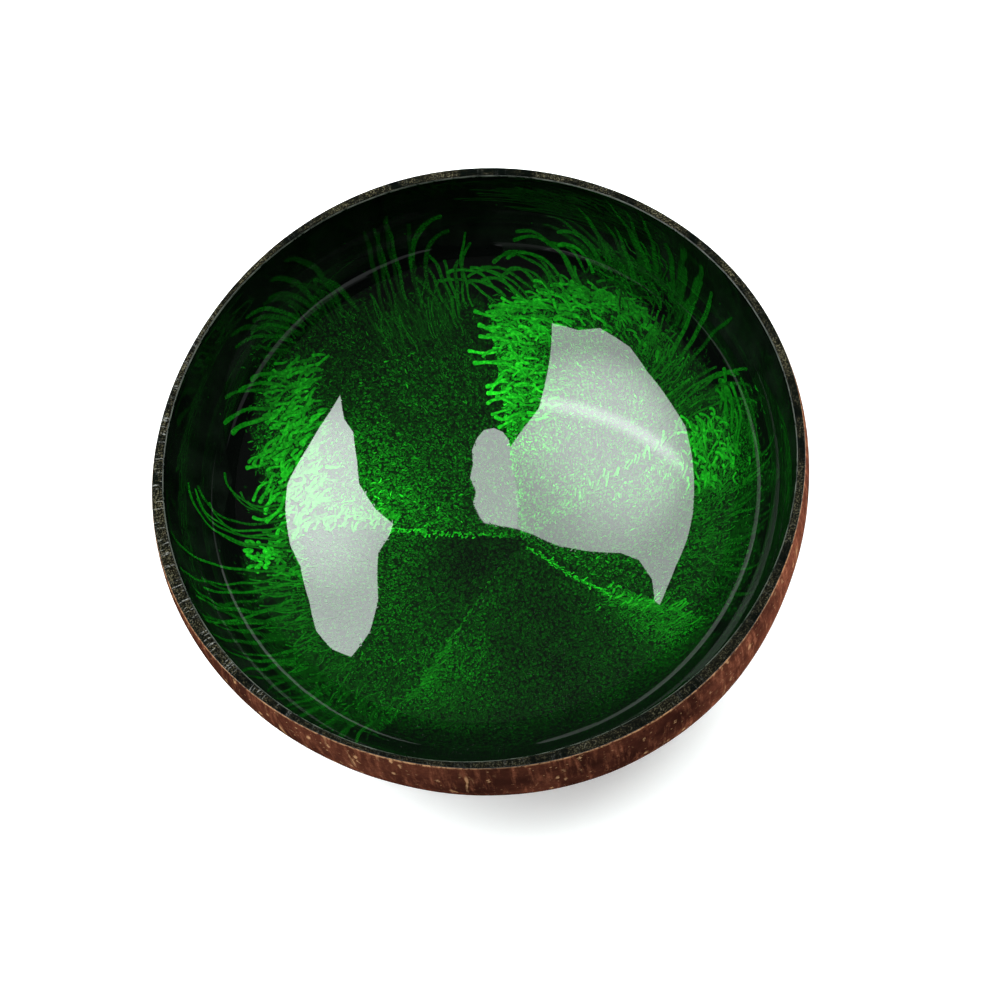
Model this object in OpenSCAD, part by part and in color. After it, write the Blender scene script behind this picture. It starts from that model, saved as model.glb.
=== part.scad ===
// Lacquered coconut shell bowl.
// Half of a coconut's hard shell, cut level at the rim and sanded flat underneath.
// Inside it has a black base coat, five poured petals of green metallic lacquer and a clear top coat.
// The origin is the middle of the foot, on the table. +Z is up.

/* [Bowl] */
// Mean outer diameter across the cut rim
rim_d = 134; // [116:1:150]
// Height from the table to the top of the rim
bowl_h = 52; // [47:1:60]
// How far below the rim the shell is widest
bulge_drop = 10; // [6:0.5:14]
// Fullness of the upright section: 2 is an ellipse, more is squarer
section_power = 2.3; // [2:0.05:2.6]

/* [Shell] */
// Wall of the shell at its cut rim, under the lacquer
shell_rim_t = 1.5; // [1.2:0.1:2.4]
// Wall of the shell at its lowest point, after sanding
shell_floor_t = 4.5; // [3.5:0.1:6]
// How far below the rim the hollow is widest
hollow_drop = 8; // [5:0.5:12]
// Depth sanded off the round bottom to make the flat foot
foot_sanding = 1.5; // [0.8:0.1:2.5]
// Bevel worn along the outer edge of the cut rim
rim_bevel = 0.5; // [0.4:0.1:1]

/* [Natural shape] */
// How far the nut stands out of round along its wide direction
wide_rise = 0.1; // [0:0.05:0.6]
// Wide direction of the nut, in degrees from +X
wide_turn = -14; // [-90:1:90]
// How far the three lobes of the nut stand out of round
lobe_rise = 0.4; // [0:0.05:1]
// Direction of the first lobe, in degrees from +X
lobe_turn = 65; // [0:1:120]
// How far the nut is pulled square, seen from above
square_rise = 0.35; // [0:0.05:0.8]
// Direction of the first square corner, in degrees from +X
square_turn = 10; // [0:1:90]
// Height of the three seams that run down the outside, one on each lobe
seam_rise = 0.4; // [0:0.05:0.8]
// Narrowness of the seams: a higher number is a narrower ridge
seam_sharpness = 10; // [4:1:20]

/* [Lacquer] */
// Thickness of the black base coat, also over the cut rim
base_coat_t = 0.3; // [0.2:0.05:0.4]
// Thickness of the green metallic coat
green_t = 0.15; // [0.1:0.05:0.3]
// Thickness of the clear coat over the green
clear_t = 0.15; // [0.1:0.05:0.4]

/* [Petals] */
// Distance of the solid green from the inner edge of the rim, seen from above
petal_margin = 14; // [11:1:20]
// Distance of the longest strands from the inner edge of the rim, seen from above
strand_margin = 4; // [2:0.5:8]
// Place of the middle of the pour along X
pour_x = 3.4; // [-6:0.2:6]
// Place of the middle of the pour along Y
pour_y = -1.7; // [-6:0.1:6]
// Width of the black line between two petals
petal_gap = 0.8; // [0.4:0.1:2]
// Width of a strand where it leaves the petal
strand_w = 2; // [1.2:0.1:3]
// Diameter of the drop at the end of a strand
drop_d = 1.8; // [1.2:0.1:2.6]
// Strands thrown out from the far edge of each petal
rim_strands = 6; // [3:1:8]
// Strands combed out from the leading edge of each petal
comb_strands = 3; // [2:1:4]

/* [Hidden] */

overrun = 1;
// Steps round the nut, up its section above and below the widest ring, and round the turned hollow
columns = 84;
upper_rings = 2;
lower_rings = 14;
turned_steps = 12;
turned_faces = 120;

shell_brown = [0.36, 0.19, 0.13];
lacquer_black = [0.03, 0.04, 0.03];
metallic_green = [0.05, 0.55, 0.10];
clear_tint = [0.80, 0.95, 0.85, 0.30];

// Upright section: half width at a height, as a share of the half width where it is widest
function width_share(drop_share) = pow(1 - pow(drop_share, section_power), 1 / section_power);
// The same section by the angle round it, 0 where it is widest and 90 at its lowest point
function turn_width_share(turn) = pow(cos(turn), 2 / section_power);
function turn_drop_share(turn) = pow(abs(sin(turn)), 2 / section_power) * sign(turn);
function drop_share_turn(drop_share) = asin(pow(drop_share, section_power / 2));

// A skin is one of the nested surfaces: half width, height where it is widest, depth below that
cut_z = bowl_h - base_coat_t;
widest_z = bowl_h - bulge_drop;
hollow_z = bowl_h - hollow_drop;
nut_depth = widest_z + foot_sanding;
shell_hollow_depth = hollow_z - shell_floor_t;
nut_half_w = rim_d / 2 / width_share(bulge_drop / nut_depth);
hollow_half_w = (rim_d / 2 - shell_rim_t) / width_share(hollow_drop / shell_hollow_depth);

function hollow_skin(coat_t) = [hollow_half_w - coat_t, hollow_z, shell_hollow_depth - coat_t];

nut_skin = [nut_half_w, widest_z, nut_depth];
shell_skin = hollow_skin(0);
black_skin = hollow_skin(base_coat_t);
green_skin = hollow_skin(base_coat_t + green_t);
clear_skin = hollow_skin(base_coat_t + green_t + clear_t);

function skin_turn(skin, z) = sign(skin[1] - z) * drop_share_turn(abs(skin[1] - z) / skin[2]);
function skin_r(skin, turn) = skin[0] * turn_width_share(turn);
function skin_z(skin, turn) = skin[1] - skin[2] * turn_drop_share(turn);

// Angles round the section from the height top_z down, through the widest ring, to last_turn
function section_turns(skin, top_z, last_turn, steps) = let (top_turn = skin_turn(skin, top_z)) concat(
    [for (i = [0 : upper_rings - 1]) top_turn * (1 - i / upper_rings)],
    [for (i = [0 : steps]) last_turn * i / steps]
);

// The nut seen from above: three lobes, four soft corners and a wide direction
lobes = 3;
corners = 4;
function nut_wave(a) =
    lobe_rise * cos(lobes * (a - lobe_turn))
    + square_rise * cos(corners * (a - square_turn))
    + wide_rise * cos(2 * (a - wide_turn));
function seam_wave(a) = seam_rise * pow((1 + cos(lobes * (a - lobe_turn))) / 2, seam_sharpness);

// A ring of the nut is [height, mean radius, share of the seams' height]
function nut_ring(turn) = [skin_z(nut_skin, turn), skin_r(nut_skin, turn), max(0, sin(2 * turn))];
function ring_point(ring, a) =
    let (r = ring[1] * (1 + nut_wave(a) / nut_half_w) + ring[2] * seam_wave(a))
    [r * cos(a), r * sin(a), ring[0]];

// A closed solid through rings from the top down, flat at both ends
module loft(rings) {
    count = len(rings);
    top_centre = count * columns;
    end_centre = top_centre + 1;
    last = (count - 1) * columns;
    points = concat(
        [for (ring = rings, j = [0 : columns - 1]) ring_point(ring, 360 * j / columns)],
        [[0, 0, rings[0][0]], [0, 0, rings[count - 1][0]]]
    );
    side_faces = [
        for (i = [0 : count - 2], j = [0 : columns - 1])
            let (
                next = (j + 1) % columns,
                a = i * columns + j,
                b = i * columns + next,
                c = b + columns,
                d = a + columns
            )
            each [[a, b, c], [a, c, d]]
    ];
    end_faces = [
        for (j = [0 : columns - 1])
            let (next = (j + 1) % columns)
            each [[top_centre, next, j], [end_centre, last + j, last + next]]
    ];
    polyhedron(points, concat(side_faces, end_faces));
}

edge_ring = nut_ring(skin_turn(nut_skin, bowl_h));
bevelled_ring = [bowl_h, edge_ring[1] - rim_bevel, 0];
nut_turns = section_turns(nut_skin, bowl_h - rim_bevel, skin_turn(nut_skin, 0), lower_rings);
nut_rings = [for (turn = nut_turns) nut_ring(turn)];

// The nut's outside from the bevelled rim down to the sanded foot
module nut_solid() {
    loft(concat([bevelled_ring], nut_rings));
}

module nut_rim() {
    loft([bevelled_ring, nut_rings[0]]);
}

function skin_profile(skin) = [
    for (turn = section_turns(skin, bowl_h, 90, turned_steps)) [skin_r(skin, turn), skin_z(skin, turn)]
];
function backwards(list) = [for (i = [len(list) - 1 : -1 : 0]) list[i]];

// The space inside a skin, from its lowest point up to top_z
module turned_hollow(skin, top_z) {
    profile = skin_profile(skin);
    rotate_extrude($fn = turned_faces)
        polygon(concat([[0, top_z], [profile[0][0], top_z]], profile));
}

// The coat between an outer skin and an inner one, up to the rim
module turned_coat(outer, inner) {
    rotate_extrude($fn = turned_faces)
        polygon(concat(skin_profile(outer), backwards(skin_profile(inner))));
}

module slab(low_z, high_z) {
    translate([-rim_d, -rim_d, low_z]) cube([2 * rim_d, 2 * rim_d, high_z - low_z]);
}

// Directions of the petals' leading edges, in degrees from +X
lead_turns = [13, 79, 156, 228, 312];
petals = len(lead_turns);
petal_reach = rim_d / 2 - shell_rim_t - base_coat_t - petal_margin;
strand_l = petal_margin - strand_margin;

// Curves of a petal, in degrees: how its edges swirl, and how far its trailing edge draws back
edge_swirl = 7;
draw_back = 24;
draw_start_share = 0.5;
// Places along an edge from the middle of the pour outwards, up to where the comb starts
edge_shares = [0.07, 0.3, 0.5, 0.65];
back_edge_shares = [0.07, 0.3, 0.5, 0.65, 0.8, 0.92];
// The far edge falls in by this share of the reach towards the trailing side
fall_share = 0.12;

// A spot on the plan: share 0 is the middle of the pour and share 1 the solid green's reach
function spot(turn, share) = (1 - share) * [pour_x, pour_y] + share * petal_reach * [cos(turn), sin(turn)];
function lead_turn(k, share) = lead_turns[k % petals] + edge_swirl * pow(share, 2);
function behind(k) = (k + petals - 1) % petals;
function draw_turn(share) =
    draw_back * pow(max(0, (share - draw_start_share) / (1 - draw_start_share)), 2);
function back_turn(k, share) = lead_turn(behind(k), share) + draw_turn(share);
// Half the black line is taken off each side of an edge
function lead_spot(k, share) =
    let (turn = lead_turn(k, share)) spot(turn, share) + petal_gap / 2 * [sin(turn), -cos(turn)];
function back_spot(k, share) =
    let (turn = back_turn(k, share)) spot(turn, share) + petal_gap / 2 * [-sin(turn), cos(turn)];
// Sweep of a petal's far edge, from its leading corner at 0 to its trailing corner at 1
function sweep(k) = (lead_turn(k, 1) - back_turn(k, 1) + 360) % 360;
function far_turn(k, across) = lead_turn(k, 1) - sweep(k) * across;
function far_spot(k, across) = spot(far_turn(k, across), 1 - fall_share * pow(across, 2));

// A strand leaves start in the direction heading, bends by bend degrees, narrows to a neck and
// ends in a round drop. Its outline runs out along its left side and back along its right side.
strand_steps = 4;
drop_steps = 8;
neck_share = 0.6;
drop_turn = 180 - asin(neck_share);
function strand_spot(start, heading, bend, length, share) =
    let (bend_r = length / (bend * PI / 180))
    start + bend_r * [sin(heading + bend * share) - sin(heading), cos(heading) - cos(heading + bend * share)];
function strand_side(start, heading, bend, length, share, way) =
    let (
        turn = heading + bend * share,
        half_w = (strand_w + (neck_share * drop_d - strand_w) * share) / 2
    )
    strand_spot(start, heading, bend, length, share) + way * half_w * [-sin(turn), cos(turn)];
function strand_outline(start, heading, bend, length) =
    let (
        shares = [for (i = [0 : strand_steps - 1]) i / strand_steps],
        middle = strand_spot(start, heading, bend, length, 1),
        left = [for (share = shares) strand_side(start, heading, bend, length, share, 1)],
        right = [for (share = backwards(shares)) strand_side(start, heading, bend, length, share, -1)],
        drop = [
            for (i = [0 : drop_steps])
                let (turn = heading + bend + drop_turn * (1 - 2 * i / drop_steps))
                middle + drop_d / 2 * [cos(turn), sin(turn)]
        ]
    )
    concat(left, drop, right);

// Strands on the far edge fan from well forward at the leading corner to slightly back at the other
lead_fan = 50;
trail_fan = -12;
lead_bend = 45;
trail_bend = 12;
// Strands differ in length by up to this share, in a rhythm stepped by these angles
short_share = 0.3;
strand_rhythm = 140;
petal_rhythm = 55;
// Place of a strand in its stretch of the far edge
strand_place_share = 0.3;
function mix(first, last, share) = first + (last - first) * share;

function far_strand(k, i) =
    let (
        across = (i + strand_place_share) / rim_strands,
        heading = far_turn(k, across) + mix(lead_fan, trail_fan, across),
        length = strand_l * (1 - short_share * pow(sin(strand_rhythm * i + petal_rhythm * k), 2))
    )
    strand_outline(far_spot(k, across), heading, mix(lead_bend, trail_bend, across), length);

// Strands combed forward over the black, where the next petal's trailing edge draws back
comb_share = 0.78;
comb_lean = 70;
comb_bend = 25;
function comb_strand(k, i) =
    let (
        share = comb_share + (1 - comb_share) * i / comb_strands,
        free_w = share * petal_reach * draw_turn(share) * PI / 180,
        length = free_w - petal_gap / 2 - drop_d / 2
    )
    strand_outline(lead_spot(k, share), lead_turn(k, share) + comb_lean, comb_bend, length);

function petal_outline(k) = concat(
    [for (share = edge_shares) lead_spot(k, share)],
    [for (i = [0 : comb_strands - 1]) each comb_strand(k, i)],
    [far_spot(k, 0)],
    [for (i = [0 : rim_strands - 1]) each concat(far_strand(k, i), [far_spot(k, (i + 1) / rim_strands)])],
    [for (share = backwards(back_edge_shares)) back_spot(k, share * (1 - fall_share))]
);

module green_coat(k) {
    intersection() {
        turned_coat(black_skin, green_skin);
        linear_extrude(height = cut_z) polygon(petal_outline(k));
    }
}

module coconut_shell() {
    color(shell_brown) difference() {
        nut_solid();
        slab(cut_z, bowl_h + overrun);
        turned_hollow(shell_skin, bowl_h + overrun);
    }
}

module black_base_coat() {
    color(lacquer_black) difference() {
        union() {
            intersection() {
                nut_rim();
                slab(cut_z, bowl_h + overrun);
            }
            turned_hollow(shell_skin, bowl_h);
        }
        turned_hollow(black_skin, bowl_h + overrun);
    }
}

module green_petal(number) {
    color(metallic_green) green_coat(number - 1);
}

module clear_top_coat() {
    color(clear_tint) difference() {
        turned_coat(black_skin, clear_skin);
        for (k = [0 : petals - 1]) green_coat(k);
    }
}

coconut_shell();
black_base_coat();
green_petal(1);  // green_petal_1
green_petal(2);  // green_petal_2
green_petal(3);  // green_petal_3
green_petal(4);  // green_petal_4
green_petal(5);  // green_petal_5
clear_top_coat();
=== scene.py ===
"""Coconut shell bowl, lacquered black inside with a poured swirl of green.

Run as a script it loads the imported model, builds the pieces that show and lays out the stage.
"""

import math
import random

import bmesh
import bpy
import numpy as np
from bpy.props import (
    FloatProperty,
    FloatVectorProperty,
    IntProperty,
    PointerProperty,
)
from mathutils import Matrix, Vector, noise


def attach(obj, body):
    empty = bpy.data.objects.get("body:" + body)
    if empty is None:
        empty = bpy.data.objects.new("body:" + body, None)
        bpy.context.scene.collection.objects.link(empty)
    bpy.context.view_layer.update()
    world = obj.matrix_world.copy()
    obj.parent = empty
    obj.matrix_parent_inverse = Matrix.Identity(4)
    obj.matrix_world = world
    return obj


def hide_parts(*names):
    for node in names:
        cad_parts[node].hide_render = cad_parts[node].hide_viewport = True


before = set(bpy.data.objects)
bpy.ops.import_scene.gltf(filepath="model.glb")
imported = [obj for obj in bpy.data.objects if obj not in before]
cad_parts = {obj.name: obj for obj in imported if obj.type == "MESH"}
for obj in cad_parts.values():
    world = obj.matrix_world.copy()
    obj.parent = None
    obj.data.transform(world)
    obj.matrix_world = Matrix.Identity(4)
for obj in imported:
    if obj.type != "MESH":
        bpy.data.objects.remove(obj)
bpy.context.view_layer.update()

bl_info = {
    "name": "Coconut Shell Bowl",
    "version": (1, 0, 0),
    "blender": (4, 5, 0),
    "location": "3D View > Sidebar > Coconut Bowl",
    "description": "Builds a lacquered coconut shell bowl round its packed frame",
    "category": "Add Mesh",
}

MM = 0.001
FULL_TURN = 2 * math.pi
QUARTER_TURN = math.pi / 2

# The nut's lobes, as part.scad has them: how many, how high in mm, and the first one's degrees
NUT_LOBES = ((3, 0.4, 65), (4, 0.35, 10), (2, 0.1, -14))
SEAM_RISE, SEAM_SHARPNESS = 0.4, 10
PHOTO_WIDTH = 1001
# Light grows with the tone that the eye sees to this power, and strands lie this flat
TONE_POWER = 2.2
FLATNESS = 0.07
# Vertices nearer than this are one, and a vertex this near the axis is a pole
SAME_PLACE, POLE = 1e-7, 1e-5
# Where the rim's specks grow towards the back and its scratches towards the left
BACK_OF_RIM = (-60 * MM, 20 * MM)
LEFT_OF_RIM = (-40 * MM, -62 * MM)
# The shell's fibres are laid out at this radius, and its flecks are frayed this far
FIBRE_RADIUS = 66 * MM
FRAY = 1.2 * MM
# The shell's colour is brightened across this stretch of X, as painted light on its lit side, and
# its edge is worn over this stretch of height
PAINTED_LIGHT_SPAN = (12 * MM, 58 * MM)
PAINTED_LIGHT_DRIFT = 60 * MM
WORN_EDGE = (50.8 * MM, 51.4 * MM)
WEAR_DRIFT = 1.2 * MM
# The bare foot fades out between these heights
FOOT_EDGE = (0.7 * MM, 0.2 * MM)


# Sizes and colours


def length(name, description, millimetres, least=0.0):
    return FloatProperty(
        name=name,
        description=description,
        default=millimetres * MM,
        min=least,
        unit="LENGTH",
        precision=5,
    )


def angle(name, description, degrees):
    return FloatProperty(
        name=name,
        description=description,
        default=math.radians(degrees),
        subtype="ANGLE",
    )


def colour(name, description, *rgb):
    return FloatVectorProperty(
        name=name,
        description=description,
        default=rgb,
        size=3,
        min=0,
        max=1,
        subtype="COLOR",
    )


def plain(name, description, value, low=0.0, high=100.0):
    return FloatProperty(
        name=name, description=description, default=value, min=low, max=high
    )


class BowlShape(bpy.types.PropertyGroup):
    """Sizes of the turned shell and its lacquer."""

    rim_height: length("Rim height", "Height of the cut rim", 52)
    nut_half_width: length("Nut half width", "Half the nut at its widest", 68.04)
    nut_middle: length("Nut middle", "Height of the nut's widest ring", 42)
    nut_depth: length("Nut depth", "From the widest ring to the uncut end", 43.5)
    hollow_half_width: length("Hollow half width", "Half the hollow", 66.237)
    hollow_middle: length("Hollow middle", "Height of the hollow's widest ring", 44)
    hollow_depth: length("Hollow depth", "From its widest ring to its floor", 39.5)
    section_power: plain("Section power", "How full the section is, 2 is round", 2.3)
    black_coat: length("Black coat", "Thickness of the black lacquer", 0.3)
    lip_round: length("Lip round", "Radius of the lacquered lip", 0.5)
    cap: length("Rim cap", "Depth of the lacquer over the cut rim", 0.5)
    steps: IntProperty(name="Steps", description="Steps round", default=240, min=24)


class PourShape(bpy.types.PropertyGroup):
    """Where the green was poured and how finely its sheets are divided."""

    centre_x: length("Pour centre X", "Across, on the flat plan", 5.1, -1)
    centre_y: length("Pour centre Y", "Along, on the flat plan", -1.9, -1)
    sheet: length("Sheet", "Thickness of a green sheet", 0.03)
    dabs: plain("Dabs", "Short dabs in a square millimetre of a petal", 1.4)
    along: IntProperty(name="Along", description="Divisions outwards", default=96)
    across: IntProperty(name="Across", description="Divisions across", default=72)
    seed: IntProperty(name="Seed", description="Seed of the strands", default=11)


class Finishes(bpy.types.PropertyGroup):
    """Colours of the wood and the lacquers."""

    husk_dark: colour("Husk dark", "Darkest brown of the shell", 0.024, 0.0075, 0.005)
    husk_mid: colour("Husk middle", "Middle brown of the shell", 0.088, 0.026, 0.015)
    husk_light: colour("Husk light", "Lightest brown of the shell", 0.19, 0.062, 0.033)
    fleck: colour("Flecks", "Tan flecks and fibres", 0.50, 0.27, 0.13)
    sanded: colour("Sanded foot", "Bare sanded wood", 0.30, 0.17, 0.09)
    black: colour("Black lacquer", "Black ground", 0.0012, 0.0018, 0.0014)
    olive: colour("Olive specks", "Specks in the rim's lacquer", 0.085, 0.075, 0.045)
    rim_black: colour("Rim black", "Black over the sawn rim", 0.0032, 0.0030, 0.0018)
    scratches: colour("Scratches", "Pale scratches across the rim", 0.17, 0.17, 0.16)
    black_thin: colour("Thin black", "Black where it runs thin", 0.0042, 0.007, 0.0045)
    green: colour("Green", "The green at its fullest", 0.014, 0.86, 0.020)
    green_warm: colour("Warm green", "Lightest grains of the green", 0.045, 0.90, 0.030)
    # Painted highlight: the clear bead gets a grey colour, so that the lip shows a bright line
    # besides its own gloss
    bead: colour("Bead", "Clear lacquer pooled at the lip", 0.05, 0.055, 0.045)


class StageSetup(bpy.types.PropertyGroup):
    """Camera, floor and softboxes."""

    elevation: angle("Elevation", "Camera above the rim's plane", 65.78)
    roll: angle("Roll", "Camera roll", -14.19)
    distance: length("Distance", "Camera to rim centre", 507)
    focal_pixels: plain("Focal length", "In pixels of the frame", 2477.4, 1, 1e5)
    centre_column: plain("Centre column", "Rim centre, pixel across", 476.07, 0, 5000)
    centre_row: plain("Centre row", "Rim centre, pixel down", 453.11, 0, 5000)
    floor_radius: length("Floor radius", "Flat part of the floor", 2400)
    floor_rise: length("Floor rise", "Height of the floor's upturned edge", 600)
    floor_tone: colour("Floor", "Floor and backdrop", 0.82, 0.82, 0.82)
    floor_glow: plain("Floor glow", "Added where the camera sees the floor", 0.4)
    room: plain("Room", "Light of the dim room", 0.05)
    box_distance: length("Softbox distance", "From the rim centre", 1300)
    left_glow: plain("Left softbox", "Radiance away from its middle", 10.0)
    left_middle: plain("Left middle", "Added at its middle", 5.5)
    right_glow: plain("Right softbox", "Radiance away from its middle", 7.2)
    flap_glow: plain("Flap", "Radiance of the right softbox's loose flap", 9.5)
    streak: plain("Streak", "Added along the right softbox's tube", 6.0)
    right_middle: plain("Right middle", "Added at its middle", 5.8)
    box_tint: colour("Softbox tint", "Colour of the softboxes", 0.92, 0.985, 0.975)


class CoconutBowl(bpy.types.PropertyGroup):
    """All settings of the bowl."""

    shape: PointerProperty(type=BowlShape)
    pour: PointerProperty(type=PourShape)
    finish: PointerProperty(type=Finishes)
    stage: PointerProperty(type=StageSetup)


# Shapes


def settings():
    return bpy.context.scene.coconut_bowl


def smooth(value, low, high):
    """0 below low, 1 above high, and a smooth step between."""
    share = np.clip((value - low) / (high - low), 0, 1)
    return share * share * (3 - 2 * share)


def nut_wave(around):
    """How far the nut's lobes and seams stand out at an angle round it, in metres."""
    wave = sum(
        rise * math.cos(count * (around - math.radians(turn)))
        for count, rise, turn in NUT_LOBES
    )
    return wave * MM


def seam_wave(around, turn):
    """The three ridges where the nut's shells meet, on its lower half."""
    ridge = ((1 + math.cos(3 * (around - math.radians(NUT_LOBES[0][2])))) / 2) ** (
        SEAM_SHARPNESS
    )
    return max(0.0, math.sin(2 * turn)) * SEAM_RISE * ridge * MM


def oval(turn, half_width, middle, depth):
    """Radius and height on a full oval section. turn is 0 at its widest and grows downwards."""
    power = 2 / settings().shape.section_power
    height = middle - math.copysign(abs(math.sin(turn)) ** power * depth, turn)
    return half_width * max(0.0, math.cos(turn)) ** power, height


def turn_at(height, middle, depth):
    """The turn at which a full oval section is at this height."""
    reach = (middle - height) / depth
    power = settings().shape.section_power / 2
    return math.copysign(math.asin(min(1.0, abs(reach) ** power)), reach)


def nut_point(turn):
    s = settings().shape
    return oval(turn, s.nut_half_width, s.nut_middle, s.nut_depth)


def hollow_point(turn, coat):
    s = settings().shape
    return oval(
        turn, s.hollow_half_width - coat, s.hollow_middle, s.hollow_depth - coat
    )


class FlatPlan:
    """The black hollow rolled out flat, so that a distance on it is a distance along the wall."""

    TURNS = 4000

    def __init__(self):
        s = settings().shape
        self.coat = s.black_coat
        self.width = s.hollow_half_width - self.coat
        self.depth = s.hollow_depth - self.coat
        self.middle = s.hollow_middle
        self.power = s.section_power
        top = turn_at(s.rim_height, self.middle, self.depth)
        turns = np.linspace(QUARTER_TURN, top, self.TURNS)
        points = np.array([hollow_point(t, self.coat) for t in turns])
        steps = np.hypot(*np.diff(points, axis=0).T)
        self.run = np.concatenate([[0], np.cumsum(steps)])
        self.radius, self.height = points.T

    def normals(self, points):
        """The hollow's inward normals at points on or near it."""
        radius = np.hypot(points[:, 0], points[:, 1])
        drop = points[:, 2] - self.middle
        out = (radius / self.width) ** (self.power - 1) / self.width
        up = (np.abs(drop) / self.depth) ** (self.power - 1) / self.depth
        around = points[:, :2] / np.maximum(radius, 1e-9)[:, None]
        found = np.column_stack([-around * out[:, None], -np.sign(drop) * up])
        return found / np.linalg.norm(found, axis=1)[:, None]

    def place(self, plan, lift):
        """Points of the plan on the wall, raised off it by lift."""
        run = np.hypot(plan[:, 0], plan[:, 1])
        around = plan / np.maximum(run, 1e-9)[:, None]
        radius = np.interp(run, self.run, self.radius)
        height = np.interp(run, self.run, self.height)
        points = np.column_stack([around * radius[:, None], height])
        return points + self.normals(points) * np.asarray(lift)[:, None]


def finish_piece(name, bm, materials):
    """A smooth-shaded object at the origin, in the scene, from a finished bmesh."""
    mesh = bpy.data.meshes.new(name)
    bm.to_mesh(mesh)
    bm.free()
    for material in materials:
        mesh.materials.append(material)
    mesh.polygons.foreach_set("use_smooth", [True] * len(mesh.polygons))
    piece = bpy.data.objects.new(name, mesh)
    bpy.context.scene.collection.objects.link(piece)
    return piece


def spin_round(bm, outline, steps):
    """Carries an outline a full turn about Z, with its seam and poles closed."""
    bmesh.ops.spin(
        bm,
        geom=outline,
        cent=(0, 0, 0),
        axis=(0, 0, 1),
        angle=FULL_TURN,
        steps=steps,
        use_merge=True,
    )
    bmesh.ops.remove_doubles(bm, verts=bm.verts, dist=SAME_PLACE)
    bmesh.ops.recalc_face_normals(bm, faces=bm.faces)


def turned(profile, steps):
    """A surface of revolution about Z from a profile of (radius, height)."""
    bm = bmesh.new()
    verts = [bm.verts.new((r, 0, z)) for r, z in profile]
    edges = [bm.edges.new(pair) for pair in zip(verts, verts[1:])]
    spin_round(bm, verts + edges, steps)
    return bm


def polar_uv(bm, scale_radius):
    """A UV map in millimetres: round the bowl, and outwards or upwards."""
    layer = bm.loops.layers.uv.new("Wrap")
    for face in bm.faces:
        middle = math.atan2(face.calc_center_median().y, face.calc_center_median().x)
        for loop in face.loops:
            co = loop.vert.co
            turn = math.atan2(co.y, co.x) if co.xy.length > POLE else middle
            turn += FULL_TURN * round((middle - turn) / FULL_TURN)
            across = co.xy.length + co.z
            loop[layer].uv = (turn * scale_radius / MM, across / MM)


# Finishes


class Finish:
    """A material under construction."""

    def __init__(self, name):
        self.material = bpy.data.materials.new(name)
        self.material.use_nodes = True
        self.tree = self.material.node_tree
        self.tree.nodes.clear()

    def add(self, kind, inputs=None, **values):
        node = self.tree.nodes.new("ShaderNode" + kind)
        for key, value in values.items():
            setattr(node, key, value)
        for key, value in (inputs or {}).items():
            self.feed(node.inputs[key], value)
        return node

    def feed(self, socket, value):
        if isinstance(value, bpy.types.NodeSocket):
            self.tree.links.new(value, socket)
        else:
            socket.default_value = value

    def calc(self, operation, *terms, clamp=False):
        """The result of a Math node."""
        inputs = dict(enumerate(terms))
        return self.add("Math", inputs, operation=operation, use_clamp=clamp).outputs[0]

    def times(self, first, second):
        return self.calc("MULTIPLY", first, second)

    def vector(self, operation, *terms):
        """The vector that a Vector Math node gives."""
        inputs = dict(enumerate(terms))
        return self.add("VectorMath", inputs, operation=operation).outputs[0]

    def closeness(self, vector, axis):
        """The cosine between a unit vector and an axis."""
        inputs = {0: vector, 1: axis}
        return self.add("VectorMath", inputs, operation="DOT_PRODUCT").outputs["Value"]

    def scaled(self, vector, amount):
        inputs = {0: vector, "Scale": amount}
        return self.add("VectorMath", inputs, operation="SCALE").outputs[0]

    def spread(self, value, low, high, start=0.0, end=1.0):
        """value carried from one range to another, with a smooth step."""
        inputs = {0: value, 1: low, 2: high, 3: start, 4: end}
        node = self.add("MapRange", inputs, interpolation_type="SMOOTHSTEP")
        return node.outputs[0]

    def mix(self, share, first, second):
        inputs = {0: share, 6: rgba(first), 7: rgba(second)}
        return self.add("Mix", inputs, data_type="RGBA").outputs[2]

    def place(self):
        return self.add("TexCoord").outputs["Object"]

    def wrap(self, name="Wrap"):
        return self.add("UVMap", uv_map=name).outputs[0]

    def attribute(self, name):
        return self.add("Attribute", attribute_name=name).outputs["Fac"]

    def stretched(self, vector, *scale):
        inputs = {"Vector": vector, "Scale": scale}
        return self.add("Mapping", inputs).outputs[0]

    def noise(self, vector, scale, detail=2.0, roughness=0.5, distortion=0.0):
        inputs = {
            "Vector": vector,
            "Scale": scale,
            "Detail": detail,
            "Roughness": roughness,
            "Distortion": distortion,
        }
        return self.add("TexNoise", inputs).outputs[0]

    def cells(self, vector, scale, flat=False):
        """Distance to the nearest of scattered points, and that point's own random colour."""
        kind = "2D" if flat else "3D"
        inputs = {"Vector": vector, "Scale": scale}
        node = self.add("TexVoronoi", inputs, feature="F1", voronoi_dimensions=kind)
        colour_parts = self.add("SeparateColor", {0: node.outputs["Color"]})
        return node.outputs["Distance"], colour_parts.outputs

    def ruffle(self, vector, scale, reach):
        """A small random push each way, to fray what is placed by it."""
        inputs = {"Vector": vector, "Scale": scale}
        push = self.add("TexNoise", inputs).outputs["Color"]
        push = self.vector("SUBTRACT", push, (0.5, 0.5, 0.5))
        return self.scaled(push, reach)

    def bump(self, height, strength, distance):
        inputs = {"Height": height, "Strength": strength, "Distance": distance}
        return self.add("Bump", inputs).outputs[0]

    def surface(self, constants, **links):
        """The finished shader. constants are set on its own sockets."""
        shader = self.add("BsdfPrincipled", constants)
        for key, value in links.items():
            self.feed(shader.inputs[key.replace("_", " ")], value)
        self.add("OutputMaterial", {"Surface": shader.outputs[0]})
        return self.material


def rgba(value):
    if isinstance(value, bpy.types.NodeSocket):
        return value
    return (*value, 1.0) if len(value) == 3 else tuple(value)


LACQUER = {
    "Specular IOR Level": 0.0,
    "Coat Weight": 1.0,
    "Coat Roughness": 0.015,
    "Coat IOR": 1.5,
}


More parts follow.
